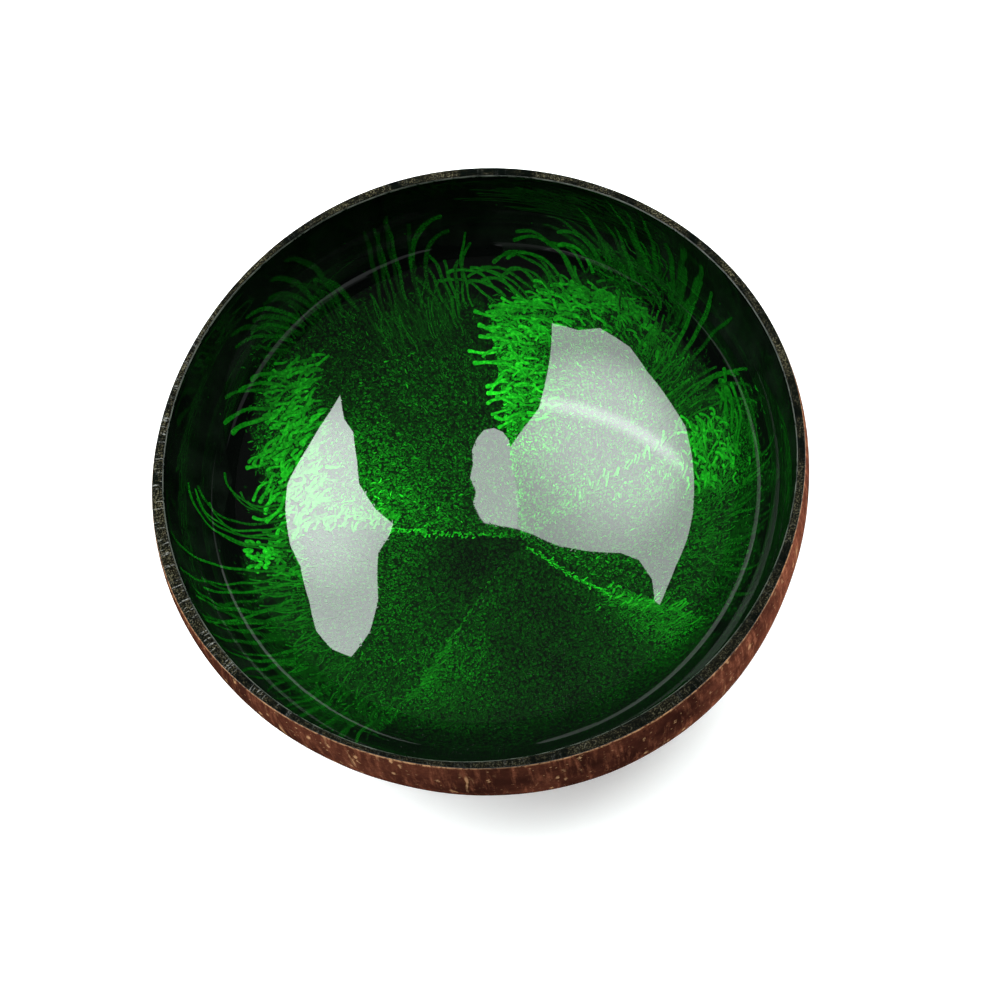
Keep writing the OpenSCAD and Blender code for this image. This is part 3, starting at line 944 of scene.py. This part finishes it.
SPRAYS = (
    # the upper right petal: its seam near the pour, and the bright comb up its leading edge
    Spray(0, ((6.5, 0), (7.6, 10), (8.4, 22)), (95, 110), (0.5, 0.9), (10, 20), 44,
          width=0.36, tone=(0.42, 0.56), loose=4, clump=0.2),
    Spray(0, ((11, 24), (11, 33), (11, 42), (14, 50)), (182, 152), (4.5, 6), (0, 20), 15,
          width=0.85, tone=(0.64, 0.66), loose=1.5, clump=0.7),
    Spray(0, ((11, 24), (11, 35), (12, 45), (15, 51)), (170, 145), (2.8, 3.4), (0, 20), 17,
          rows=7, gap=1.8, width=0.68, tone=(0.56, 0.60), loose=2.4),
    # curls and hoops over its top
    Spray(0, ((13, 51), (20, 51), (28, 51), (36, 50)), (150, 115), (4, 5), (30, 40), 15,
          rows=7, gap=1.8, width=0.68, tone=(0.56, 0.46), loose=1.8),
    Spray(0, ((13, 53), (18, 53), (23, 53)), (125, 108), (13, 18), (70, 90), 7,
          width=0.85, tone=(0.37, 0.34), loose=0.6, clump=2.0),
    Spray(0, ((24, 52), (30, 52), (37, 53)), (108, 92), (17, 19), (115, 95), 8,
          width=0.9, tone=(0.36, 0.33), loose=0.6, clump=2.0),
    Spray(0, ((38, 54), (41, 55)), (90, 84), (16, 16), (105, 100), 2, width=1.1,
          tone=(0.42, 0.40), loose=0.3),
    Spray(0, ((34, 48), (43, 44), (49, 34)), (130, 85), (2.6, 3), (30, 10), 22, rows=6,
          gap=2.0, width=0.65, tone=(0.44, 0.33), loose=2.0),
    # dark feathers beyond, and its straight fan down the right
    Spray(0, ((40, 52), (47, 50), (55, 45)), (102, 66), (20, 22), (25, 8), 11,
          form="frond", width=1.2, tone=(0.26, 0.24), loose=0.8, clump=2.5),
    Spray(0, ((40, 53), (48, 51), (57, 46)), (120, 70), (7, 8), (40, 20), 24, rows=4, gap=4,
          form="thread", width=0.65, tone=(0.28, 0.22), loose=2.0),
    Spray(0, ((55, 41), (52, 30)), (48, 34), (17, 21), (-6, -12), 6, form="hook",
          width=1.6, tone=(0.19, 0.22), loose=0.9, clump=3.5),
    Spray(0, ((47, 26), (47, 20)), (34, 24), (32, 27), (-10, -26), 3, form="hook",
          width=1.2, tone=(0.26, 0.26), loose=0.8, clump=2.5),
    Spray(0, ((47, 19), (47, 12)), (18, 4), (24, 21), (-40, -66), 8, form="hook",
          width=0.8, tone=(0.28, 0.27), loose=0.6, clump=2.0),
    Spray(0, ((46, 36), (46, 24), (45, 13)), (45, 10), (8, 8), (-5, -15), 16, rows=2, gap=4,
          form="thread", width=0.65, tone=(0.30, 0.30), loose=0.8),
    # the upper left petal: its seam near the pour, then a comb down its leading edge
    Spray(1, ((2, 0), (-10, 3.6), (-22, 7.6)), (180, 190), (0.5, 1.0), (0, 10), 70,
          width=0.40, tone=(0.40, 0.64), loose=2.5, clump=0.1),
    Spray(1, ((-21, 9), (-32, 11.5), (-41, 13)), (225, 215), (1.4, 3.2), (10, 30), 20,
          rows=3, gap=1.5, width=0.65, tone=(0.50, 0.54), loose=1.8),
    Spray(1, ((-43, 34), (-46, 27), (-47, 20), (-46, 13)), (195, 215), (6, 7), (30, 40),
          13, width=0.85, tone=(0.54, 0.64), loose=1.6),
    Spray(1, ((-42, 35), (-44, 27), (-45, 19), (-43, 12)), (200, 215), (3, 3.6), (20, 20),
          19, rows=7, gap=2.0, width=0.8, tone=(0.54, 0.64), loose=1.8),
    Spray(1, ((-38, 50), (-42, 43), (-43, 35)), (175, 200), (3.4, 4), (30, 30), 14, rows=6,
          gap=2.0, width=0.75, tone=(0.40, 0.54), loose=1.6),
    # its hooks, and dark fronds up to the rim
    Spray(1, ((-39, 49), (-41, 43), (-42, 36)), (160, 180), (17, 14), (55, 45), 5,
          width=1.15, tone=(0.34, 0.42), loose=0.5, clump=2.0),
    Spray(1, ((-34, 60), (-38, 54)), (146, 158), (20, 17), (62, 55), 5, form="hook",
          width=1.35, tone=(0.27, 0.30), loose=0.45, clump=1.5),
    Spray(1, ((-31, 58), (-26, 60), (-18, 59)), (128, 112), (21, 23), (75, 58), 6,
          form="hook", width=1.6, tone=(0.24, 0.21), loose=0.5, clump=1.5),
    Spray(1, ((-39, 51), (-33, 56), (-20, 57)), (150, 112), (10, 10), (45, 25), 26,
          form="thread", width=0.75, tone=(0.26, 0.21), loose=1.2),
    Spray(1, ((-14, 56), (-4, 56)), (103, 88), (19, 26), (0, 0), 6, form="hook",
          width=1.1, tone=(0.21, 0.23), loose=0.6, clump=2.0),
    Spray(1, ((-4, 57), (-1, 58)), (96, 90), (25, 21), (-95, -90), 2, form="hook",
          width=1.5, tone=(0.25, 0.26), loose=0.3),
    Spray(1, ((0, 52), (8, 53)), (96, 88), (13, 16), (30, -60), 7, form="hook",
          width=0.9, tone=(0.28, 0.31), loose=0.8),
    Spray(1, ((-16, 52), (4, 51)), (108, 90), (9, 8), (0, -10), 20, rows=2, gap=4,
          form="thread", width=0.55, tone=(0.24, 0.25)),
    # the left petal: long curls, a bright knot, wavy streaks and a dark fan
    Spray(2, ((-43, 18), (-45, 12), (-46, 5)), (192, 180), (15, 34), (-92, -78), 9,
          form="thread", width=0.72, tone=(0.40, 0.33), loose=0.5, clump=1.5),
    Spray(2, ((-53, 8), (-54, 2)), (150, 200), (2.4, 2.4), (-40, 40), 7, rows=3, gap=1.8,
          width=0.9, tone=(0.64, 0.64), loose=2.5),
    Spray(2, ((-48, 11), (-49, -1)), (170, 185), (2.4, 2.4), (-20, 20), 16, rows=4,
          gap=2.0, width=0.6, tone=(0.46, 0.44), loose=1.8),
    Spray(2, ((-47, 2), (-48, -4), (-48, -11)), (184, 192), (32, 27), (-26, -14), 8,
          form="thread", width=0.85, tone=(0.36, 0.28), loose=0.7, clump=2.0),
    Spray(2, ((-48, 2), (-48, -14)), (178, 194), (9, 8), (-6, -4), 14, rows=2, gap=5,
          form="thread", width=0.55, tone=(0.40, 0.32), loose=1.0),
    Spray(2, ((-52, -8), (-50, -24), (-44, -34), (-36, -42)), (186, 232), (28, 10),
          (-10, 6), 24, form="frond", width=0.8, tone=(0.27, 0.21), loose=0.9, clump=2.5),
    Spray(2, ((-48, -12), (-46, -24), (-36, -38)), (192, 235), (6, 5), (-5, 8), 26, rows=3,
          gap=3.4, form="thread", width=0.5, tone=(0.30, 0.23), loose=1.6),
    # the near petal: a fine bright seam out to a short feather, and a brushed trailing edge
    Spray(3, ((5.5, -3.5), (12, -11.5), (20, -20)), (320, 325), (0.6, 1.0), (-10, -10), 70,
          width=0.34, tone=(0.48, 0.54), loose=2.4, clump=0.1),
    Spray(3, ((19, -19), (24, -24), (29, -27)), (20, 15), (1.2, 2.6), (-10, -10), 16,
          rows=2, gap=1.2, width=0.5, tone=(0.46, 0.48), loose=1.8),
    Spray(3, ((23, -23), (28, -26), (33, -30), (34, -36)), (-18, -8), (1.2, 2.0), (20, 10),
          24, rows=5, gap=1.5, width=0.38, tone=(0.38, 0.33), loose=1.8),
    Spray(3, ((30, -28), (34, -31), (35, -36)), (10, -8), (3.5, 4), (15, 15), 9, width=0.55,
          tone=(0.44, 0.38), loose=0.7),
    Spray(3, ((0, -6), (-12, -18), (-19, -26)), (226, 228), (0.5, 0.8), (5, 5), 80,
          width=0.32, tone=(0.24, 0.36), loose=2.0, clump=0.1),
    Spray(3, ((-16, -23), (-22, -30), (-27, -35)), (200, 190), (1.0, 2.6), (15, 10), 24,
          rows=2, gap=1.4, width=0.45, tone=(0.32, 0.34), loose=1.0),
    Spray(3, ((-28, -37), (-22, -43), (-14, -46)), (205, 250), (1.4, 1.8), (5, 5), 22,
          rows=7, gap=1.9, width=0.34, tone=(0.25, 0.17), loose=2.0),
    # the right petal: a bright clump out along its leading edge, and a streaked right wall
    Spray(4, ((12, 2), (28, 6), (46, 11)), (60, 50), (1.2, 3.2), (10, 20), 30, width=0.6,
          tone=(0.46, 0.62)),
    Spray(4, ((46, 11), (52, 10), (58, 7)), (100, 70), (2.6, 3), (0, 25), 12, rows=9,
          gap=1.9, width=0.68, tone=(0.58, 0.46), loose=2.4),
    Spray(4, ((59, 0), (58, 6), (56, 11)), (66, 56), (15, 9), (60, 55), 7, width=0.95,
          tone=(0.38, 0.36), loose=0.6, clump=1.5),
    Spray(4, ((63, -8), (62, 0)), (80, 68), (19, 15), (32, 42), 6, form="thread",
          width=1.0, tone=(0.25, 0.27), loose=0.6),
    Spray(4, ((56, -4), (54, -18), (45, -31)), (10, -46), (12, 9), (34, 18), 14,
          form="frond", width=0.9, tone=(0.27, 0.22), loose=0.8, clump=2.5),
    Spray(4, ((54, -2), (51, -16), (42, -30)), (10, -46), (3, 3), (24, 12), 24, rows=5,
          gap=2.2, form="thread", width=0.5, tone=(0.34, 0.26), loose=1.8),
)


class Petal:
    """What one petal's body is like at a distance and bearing from the pour, in mm and radians."""

    # The sheet tucks this far under its neighbour and runs this far past its reach
    TUCK = math.radians(5)
    FADE = 9
    # Distances in mm between which the heart ends, the wall begins and the marks take their lean
    HEART_END = (10, 34)
    WALL_START = (40, 62)
    LEAN_START = (8, 42)
    # The reach frays over this far inside and outside, and clouds shift it and the tone this much
    FRAYED = (8, 6)
    CLOUD_SHIFT, CLOUD_TONE = 8, 0.22

    def __init__(self, number):
        self.number = number
        self.facts = PETALS[number]
        self.low, self.high = (math.radians(a) for a in self.facts["edges"])

    def share(self, bearing):
        """0 at the trailing edge and 1 at the leading edge."""
        return (bearing - self.low) / (self.high - self.low)

    def along(self, name, bearing):
        values = self.facts[name]
        return np.interp(self.share(bearing), np.linspace(0, 1, len(values)), values)

    def plan(self, distance, bearing):
        pour = settings().pour
        x = pour.centre_x / MM + distance * np.cos(bearing)
        y = pour.centre_y / MM + distance * np.sin(bearing)
        return np.column_stack([x, y])

    def clouds(self, plan, fineness=0.12):
        number = self.number * 3.3
        return np.array(
            [noise.noise(Vector((x * fineness, y * fineness, number))) for x, y in plan]
        )

    def spread(self, distance, bearing, clouds):
        reach = self.along("reach", bearing)
        inside, outside = self.FRAYED
        shifted = distance + clouds * self.CLOUD_SHIFT
        return 1 - smooth(shifted, reach - inside, reach + outside)

    def level(self, distance, bearing, clouds):
        """The body's mean light, as a share of the fullest green."""
        tone = self.along("tone", bearing)
        heart = 1 - smooth(distance, *self.HEART_END)
        outer = smooth(distance, *self.WALL_START)
        tone = tone * (1 - heart) + self.facts["heart"] * heart
        tone = tone * (1 + self.CLOUD_TONE * clouds) * (1 - self.facts["wall"] * outer)
        return np.maximum(tone, 0) ** TONE_POWER

    def lean(self, distance, bearing):
        lean = np.radians(self.along("lean", bearing))
        return bearing + lean * smooth(distance, *self.LEAN_START)


def petal_sheet(plan, petal, bm):
    """The dense body of one petal: a grid laid on the wall from the pour outwards."""
    pour = settings().pour
    bmesh.ops.create_grid(bm, x_segments=pour.along, y_segments=pour.across, size=1)
    grid = np.array([v.co for v in bm.verts])
    out, across = (grid[:, 0] + 1) / 2, (grid[:, 1] + 1) / 2
    bearing = petal.low - petal.TUCK + (petal.high - petal.low + petal.TUCK) * across
    start = 0.15
    distance = start + (petal.along("reach", bearing) + petal.FADE - start) * out
    rough = np.array(
        [noise.noise(Vector((petal.number * 7.1, d * 0.45, 0))) for d in distance]
    )
    bearing += 0.6 * rough / np.maximum(distance, 3) * smooth(across, 0.9, 1.0)
    flat = petal.plan(distance, bearing)
    clouds = petal.clouds(flat)
    lift = (pour.sheet / MM + 0.01 + 0.02 * across) * MM
    for v, place in zip(bm.verts, plan.place(flat * MM, lift)):
        v.co = place
    wrap = bm.loops.layers.uv.new("Flow")
    spot = bm.loops.layers.uv.new("Plan")
    for face in bm.faces:
        for loop in face.loops:
            index = loop.vert.index
            loop[wrap].uv = (distance[index], bearing[index] * 30)
            loop[spot].uv = flat[index]
    return (
        petal.spread(distance, bearing, clouds),
        petal.level(distance, bearing, clouds),
    )


def flat_curve(sides):
    """A curve to hold many round strands."""
    curve = bpy.data.curves.new("strands", "CURVE")
    curve.dimensions = "3D"
    curve.bevel_depth = 1.0
    curve.bevel_resolution = (sides - 4) // 2
    return curve


def add_strand(curve, path):
    """A strand through (x, y, radius) in mm."""
    spline = curve.splines.new("POLY")
    spline.points.add(len(path) - 1)
    for point, (x, y, radius) in zip(spline.points, path):
        point.co = (x * MM, y * MM, 0, 1)
        point.radius = radius * MM


def strand_path(points, radius, form):
    """The strand's swelling along its length, closed by a round tip."""
    total = len(points) - 1
    shares = (0, 0.3, 0.75, 0.97)
    path = []
    for k, (x, y) in enumerate(points):
        ripple = 1 + 0.22 * noise.noise(Vector((x * 1.1, y * 1.1, 7)))
        path.append((x, y, radius * ripple * float(np.interp(k / total, shares, form))))
    (ax, ay), (bx, by) = points[-2], points[-1]
    step = math.hypot(bx - ax, by - ay)
    ux, uy = (bx - ax) / step, (by - ay) / step
    tip = path[-1][2]
    for reach, size in ((0.5, 0.87), (0.85, 0.5)):
        path.append((bx + ux * tip * reach, by + uy * tip * reach, tip * size))
    return path


def petal_strands(petal, rng):
    """All the sprays of one petal as one flat curve."""
    curve = flat_curve(STRAND_SIDES)
    levels, counts = [], []
    for spray in SPRAYS:
        if spray.petal != petal.number:
            continue
        for points, radius, tone, form in spray.strands(rng):
            path = strand_path(points, radius, form)
            add_strand(curve, path)
            levels.append(tone**TONE_POWER)
            counts.append(len(path))
    return curve, levels, counts


# Sides of a dab and a strand, and how high above the lining they lie, in mm
DAB_SIDES, STRAND_SIDES = 4, 8
DAB_LIFT, STRAND_LIFT = (0.055, 0.075), (0.065, 0.10)
# A dab's radius and half its length, in mm
DAB_RADIUS, DAB_HALF_LENGTH = (0.17, 0.30), (0.06, 0.42)


def petal_dabs(petal, rng):
    """The short dabs that make up one petal's body, as one flat curve."""
    curve = flat_curve(DAB_SIDES)
    pour = settings().pour
    widest = max(petal.facts["reach"]) + 5
    area = (petal.high - petal.low) / 2 * widest**2
    count = int(area * pour.dabs)
    distance = widest * np.sqrt([rng.random() for _ in range(count)])
    bearing = petal.low + (petal.high - petal.low) * np.array(
        [rng.random() for _ in range(count)]
    )
    flat = petal.plan(distance, bearing)
    clouds = petal.clouds(flat)
    spread = petal.spread(distance, bearing, clouds)
    mean = petal.level(distance, bearing, clouds)
    lean = petal.lean(distance, bearing)
    grain = petal.facts["grain"]
    levels, counts = [], []
    longer = petal.share(bearing) ** 2 * smooth(distance, 15, 40)
    for (x, y), keep, level, turn, edge in zip(flat, spread, mean, lean, longer):
        if rng.random() > keep or keep < 0.05:
            continue
        turn += rng.gauss(0, 0.6)
        half = rng.uniform(*DAB_HALF_LENGTH) + 0.5 * rng.random() * edge
        radius = rng.uniform(*DAB_RADIUS)
        bend = rng.gauss(0, 0.35)
        path = []
        for way, size in ((-1, 0.5), (0, 1.0), (1, 0.5)):
            aim = turn + bend * way
            run = way * (half + radius)
            path.append((x + math.cos(aim) * run, y + math.sin(aim) * run, radius * size))
        add_strand(curve, path)
        counts.append(len(path))
        levels.append(level * math.exp(grain * rng.gauss(0.2, 0.6)))
    return curve, levels, counts


def lay_strands(bm, plan, curve, levels, counts, sides, lift, rng, marks):
    """Rolls a flat curve's strands onto the wall, pressed flat, and marks their light."""
    holder = bpy.data.objects.new("strands", curve)
    bpy.context.scene.collection.objects.link(holder)
    bpy.context.view_layer.update()
    ready = holder.evaluated_get(bpy.context.evaluated_depsgraph_get())
    flat = ready.to_mesh()
    points = np.zeros(len(flat.vertices) * 3)
    flat.vertices.foreach_get("co", points)
    points = points.reshape(-1, 3)
    sizes = np.array(counts) * sides
    if sizes.sum() != len(points):
        raise RuntimeError("a strand lost some of its points")
    owner = np.repeat(np.arange(len(counts)), sizes)
    starts = np.concatenate([[0], np.cumsum(sizes)[:-1]])
    radius = np.maximum.reduceat(np.abs(points[:, 2]), starts)
    base = np.array([rng.uniform(*lift) for _ in counts]) * MM
    placed = plan.place(points[:, :2], base[owner] + points[:, 2] * FLATNESS)
    core = np.clip(points[:, 2] / radius[owner], 0, 1)
    first_vert, first_face = len(bm.verts), len(bm.faces)
    bm.from_mesh(flat)
    ready.to_mesh_clear()
    bpy.data.objects.remove(holder)
    bpy.data.curves.remove(curve)
    bm.verts.ensure_lookup_table()
    for k, place in enumerate(placed):
        v = bm.verts[first_vert + k]
        v.co = place
        v[marks["level"]] = levels[owner[k]]
        v[marks["core"]] = core[k]
        v[marks["spread"]] = 1.0
    open_edges = [edge for edge in bm.edges if edge.is_boundary]
    bmesh.ops.holes_fill(bm, edges=open_edges, sides=0)
    bm.faces.ensure_lookup_table()
    strands = bm.faces[first_face:]
    for face in strands:
        face.material_index = 1
    bmesh.ops.recalc_face_normals(bm, faces=strands)


def build_petal(plan, number, materials, rng):
    """One petal: its sheet, its dabs, and its strands and drops."""
    petal = Petal(number)
    bm = bmesh.new()
    spread, level = petal_sheet(plan, petal, bm)
    marks = {
        name: bm.verts.layers.float.new(name) for name in ("spread", "level", "core")
    }
    for v, amount, light in zip(bm.verts, spread, level):
        v[marks["spread"]] = amount
        v[marks["level"]] = light
        v[marks["core"]] = 1.0
    bmesh.ops.solidify(bm, geom=bm.faces[:], thickness=settings().pour.sheet)
    bmesh.ops.recalc_face_normals(bm, faces=bm.faces)
    lay_strands(bm, plan, *petal_dabs(petal, rng), DAB_SIDES, DAB_LIFT, rng, marks)
    lay_strands(bm, plan, *petal_strands(petal, rng), STRAND_SIDES, STRAND_LIFT, rng, marks)
    piece = finish_piece(f"green_petal_{number + 1}_poured", bm, materials)
    film_normals(plan, piece.data)
    return piece


def film_normals(plan, mesh):
    """The clear film over a petal is as smooth as the wall, so its gloss follows the wall."""
    count = len(mesh.vertices)
    points, own = np.zeros(count * 3), np.zeros(count * 3)
    mesh.vertices.foreach_get("co", points)
    mesh.vertices.foreach_get("normal", own)
    points, own = points.reshape(-1, 3), own.reshape(-1, 3)
    film = plan.normals(points)
    side = np.where((film * own).sum(1) < -0.3, -1.0, 1.0)
    mesh.normals_split_custom_set_from_vertices((film * side[:, None]).tolist())


# The stage

# Outlines of the white patches in the lacquer, as pixels across and down the photograph. The
# softboxes are shaped from them: each hangs where the lacquer sends the camera's view of it.
LEFT_PATCH = (
    (340, 395), (344, 419), (353, 432), (357, 462), (359, 484), (376, 510), (393, 524),
    (389, 536), (378, 553), (378, 601), (370, 631), (351, 657), (331, 649), (316, 631),
    (309, 601), (300, 566), (290, 545), (285, 510), (287, 484), (309, 445), (331, 410),
)
RIGHT_PATCH = (
    (552, 323), (578, 330), (600, 328), (630, 347), (647, 371), (673, 406), (686, 427),
    (693, 462), (693, 514), (687, 540), (676, 566), (667, 588), (660, 605), (655, 601),
    (652, 579), (639, 560), (621, 553), (587, 551), (556, 545), (532, 534), (517, 529),
    (519, 500), (513, 470), (510, 447), (522, 430), (539, 408), (545, 384), (550, 358),
)
RIGHT_LOBE = (
    (509, 440), (503, 432), (494, 428), (484, 430), (477, 438), (472, 450), (473, 464),
    (470, 478), (476, 492), (473, 503), (479, 516), (484, 523), (500, 526), (517, 529),
    (519, 500), (513, 470),
)
# The middle of each softbox's tube, in degrees round and up from the rim's middle
LEFT_TUBE = (8, 56)
RIGHT_TUBE = (160, 62)
# The streak runs where a direction has this cosine with an axis, in degrees round and up, and
# fades over this width of the cosine
STREAK_AXIS = (-99, -43.5)
STREAK_CLOSENESS, STREAK_WIDTH = -0.652, 0.045
# The floor lies this far under the foot
FLOOR_GAP, FLOOR_STEPS = 0.1 * MM, 96


def direction(around, up):
    """The unit vector at these degrees round and up."""
    around, up = math.radians(around), math.radians(up)
    return Vector(
        (math.cos(up) * math.cos(around), math.cos(up) * math.sin(around), math.sin(up))
    )


def camera_axes():
    """The camera's right, up and forward directions."""
    stage = settings().stage
    forward = Vector((0, math.cos(stage.elevation), -math.sin(stage.elevation)))
    across = Vector((1, 0, 0))
    up = across.cross(forward)
    cos_roll, sin_roll = math.cos(stage.roll), math.sin(stage.roll)
    right = across * cos_roll + up * sin_roll
    above = up * cos_roll - across * sin_roll
    return right, above, forward


def seen_in_lacquer(lining, plan, column, row):
    """The place at the softboxes' distance that the camera sees in the lacquer at a pixel."""
    stage = settings().stage
    rim = Vector((0, 0, settings().shape.rim_height))
    right, above, forward = camera_axes()
    ray = forward * stage.focal_pixels
    ray += right * (column - stage.centre_column) - above * (row - stage.centre_row)
    ray.normalize()
    found, spot, _, _ = lining.ray_cast(rim - forward * stage.distance, ray)
    if not found:
        raise RuntimeError("a patch's outline misses the lacquer")
    ray = ray.reflect(Vector(plan.normals(np.array([spot]))[0]))
    spot -= rim
    along = spot.dot(ray)
    beyond = stage.box_distance**2 - spot.length_squared
    return rim + spot + ray * (math.sqrt(along**2 + beyond) - along)


def build_softbox(name, outline, material):
    """A glowing card, whose reflection fills the outline of a patch in the lacquer."""
    lining = bpy.data.objects.get("black_lining")
    if lining is None:
        raise RuntimeError("the softboxes are shaped in the lining, so it is built first")
    plan = FlatPlan()
    bm = bmesh.new()
    verts = [bm.verts.new(seen_in_lacquer(lining, plan, *pixel)) for pixel in outline]
    bmesh.ops.contextual_create(bm, geom=verts)
    bmesh.ops.triangulate(bm, faces=bm.faces[:])
    finish_piece(name, bm, [material])


def build_floor():
    """One sweep of pale floor with an upturned edge."""
    stage = settings().stage
    reach, rise = stage.floor_radius, stage.floor_rise
    flat = [(share * reach, 0) for share in (0, 0.02, 0.1, 0.3, 0.6, 1)]
    cove = [
        (reach + rise * math.sin(a), rise * (1 - math.cos(a)))
        for a in np.linspace(0, QUARTER_TURN, 13)[1:]
    ]
    bm = turned([(r, z - FLOOR_GAP) for r, z in flat + cove], FLOOR_STEPS)
    if bm.faces[0].normal.z < 0:
        bmesh.ops.reverse_faces(bm, faces=bm.faces[:])
    finish_piece("floor", bm, [pale_floor()])


def build_camera():
    """The camera stands as the photograph's did."""
    stage = settings().stage
    data = bpy.data.cameras.new("camera")
    data.sensor_width = 36
    data.sensor_fit = "HORIZONTAL"
    data.lens = stage.focal_pixels / PHOTO_WIDTH * data.sensor_width
    data.shift_x = 0.5 - stage.centre_column / PHOTO_WIDTH
    data.shift_y = stage.centre_row / PHOTO_WIDTH - 0.5
    data.clip_start = 0.01
    right, above, forward = camera_axes()
    camera = bpy.data.objects.new("camera", data)
    turn = Matrix((right, above, -forward)).transposed().to_4x4()
    rim = Vector((0, 0, settings().shape.rim_height))
    camera.matrix_world = Matrix.Translation(rim - forward * stage.distance) @ turn
    bpy.context.scene.collection.objects.link(camera)
    bpy.context.scene.camera = camera


def build_room():
    """A dim room, so that the lacquer stays black between the softboxes."""
    world = bpy.data.worlds.new("room")
    world.use_nodes = True
    background = world.node_tree.nodes["Background"]
    background.inputs["Color"].default_value = (1, 1, 1, 1)
    background.inputs["Strength"].default_value = settings().stage.room
    bpy.context.scene.world = world
    bpy.context.scene.view_settings.view_transform = "Standard"


# Operators


class BuildShell(bpy.types.Operator):
    """Build the polished nut shell"""

    bl_idname = "coconut_bowl.build_shell"
    bl_label = "Polished Shell"

    def execute(self, context):
        piece = build_shell()
        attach(piece, "root")
        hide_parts("coconut_shell")
        return {"FINISHED"}


class BuildLining(bpy.types.Operator):
    """Build the black lacquer lining and rim"""

    bl_idname = "coconut_bowl.build_lining"
    bl_label = "Black Lining"

    def execute(self, context):
        piece = build_lining()
        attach(piece, "root")
        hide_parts("black_base_coat")
        return {"FINISHED"}


class BuildPetals(bpy.types.Operator):
    """Build the five poured green petals with their strands and drops"""

    bl_idname = "coconut_bowl.build_petals"
    bl_label = "Green Petals"

    def execute(self, context):
        rng = random.Random(settings().pour.seed)
        plan = FlatPlan()
        materials = [green_pour(), green_strand()]
        for number in range(len(PETALS)):
            piece = build_petal(plan, number, materials, rng)
            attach(piece, "root")
            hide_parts(f"green_petal_{number + 1}")
        return {"FINISHED"}


class BuildBead(bpy.types.Operator):
    """Build the clear lacquer bead inside the lip"""

    bl_idname = "coconut_bowl.build_bead"
    bl_label = "Clear Bead"

    def execute(self, context):
        piece = build_bead()
        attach(piece, "root")
        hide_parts("clear_top_coat")
        return {"FINISHED"}


class BuildStage(bpy.types.Operator):
    """Lay the floor, hang the softboxes and set the camera"""

    bl_idname = "coconut_bowl.build_stage"
    bl_label = "Floor, Softboxes and Camera"

    def execute(self, context):
        stage = settings().stage
        # The lining has to be up to date before rays are cast at it
        bpy.context.view_layer.update()
        build_floor()
        cloth = softbox_face(
            "left_cloth", stage.left_glow, stage.left_middle, direction(*LEFT_TUBE)
        )
        build_softbox("left_softbox", LEFT_PATCH, cloth)
        cloth = softbox_face(
            "right_cloth",
            stage.right_glow,
            stage.right_middle,
            direction(*RIGHT_TUBE),
            stage.streak,
        )
        build_softbox("right_softbox", RIGHT_PATCH, cloth)
        build_softbox(
            "right_flap", RIGHT_LOBE, softbox_face("flap_cloth", stage.flap_glow)
        )
        build_camera()
        build_room()
        return {"FINISHED"}


class BowlPanel(bpy.types.Panel):
    """Builds the bowl piece by piece."""

    bl_label = "Coconut Bowl"
    bl_idname = "VIEW3D_PT_coconut_bowl"
    bl_space_type = "VIEW_3D"
    bl_region_type = "UI"
    bl_category = "Coconut Bowl"

    def draw(self, context):
        for operator in OPERATORS:
            self.layout.operator(operator.bl_idname)
        bowl = context.scene.coconut_bowl
        for group in (bowl.shape, bowl.pour, bowl.finish, bowl.stage):
            box = self.layout.box()
            for name in group.__annotations__:
                box.prop(group, name)


OPERATORS = (BuildShell, BuildLining, BuildPetals, BuildBead, BuildStage)
GROUPS = (BowlShape, PourShape, Finishes, StageSetup, CoconutBowl)


def register():
    for kind in GROUPS + OPERATORS + (BowlPanel,):
        bpy.utils.register_class(kind)
    bpy.types.Scene.coconut_bowl = PointerProperty(type=CoconutBowl)


def unregister():
    del bpy.types.Scene.coconut_bowl
    for kind in reversed(GROUPS + OPERATORS + (BowlPanel,)):
        bpy.utils.unregister_class(kind)


def main():
    register()
    bpy.ops.coconut_bowl.build_shell()
    bpy.ops.coconut_bowl.build_lining()
    bpy.ops.coconut_bowl.build_petals()
    bpy.ops.coconut_bowl.build_bead()
    bpy.ops.coconut_bowl.build_stage()
    bpy.context.view_layer.update()


if __name__ == "__main__":
    main()
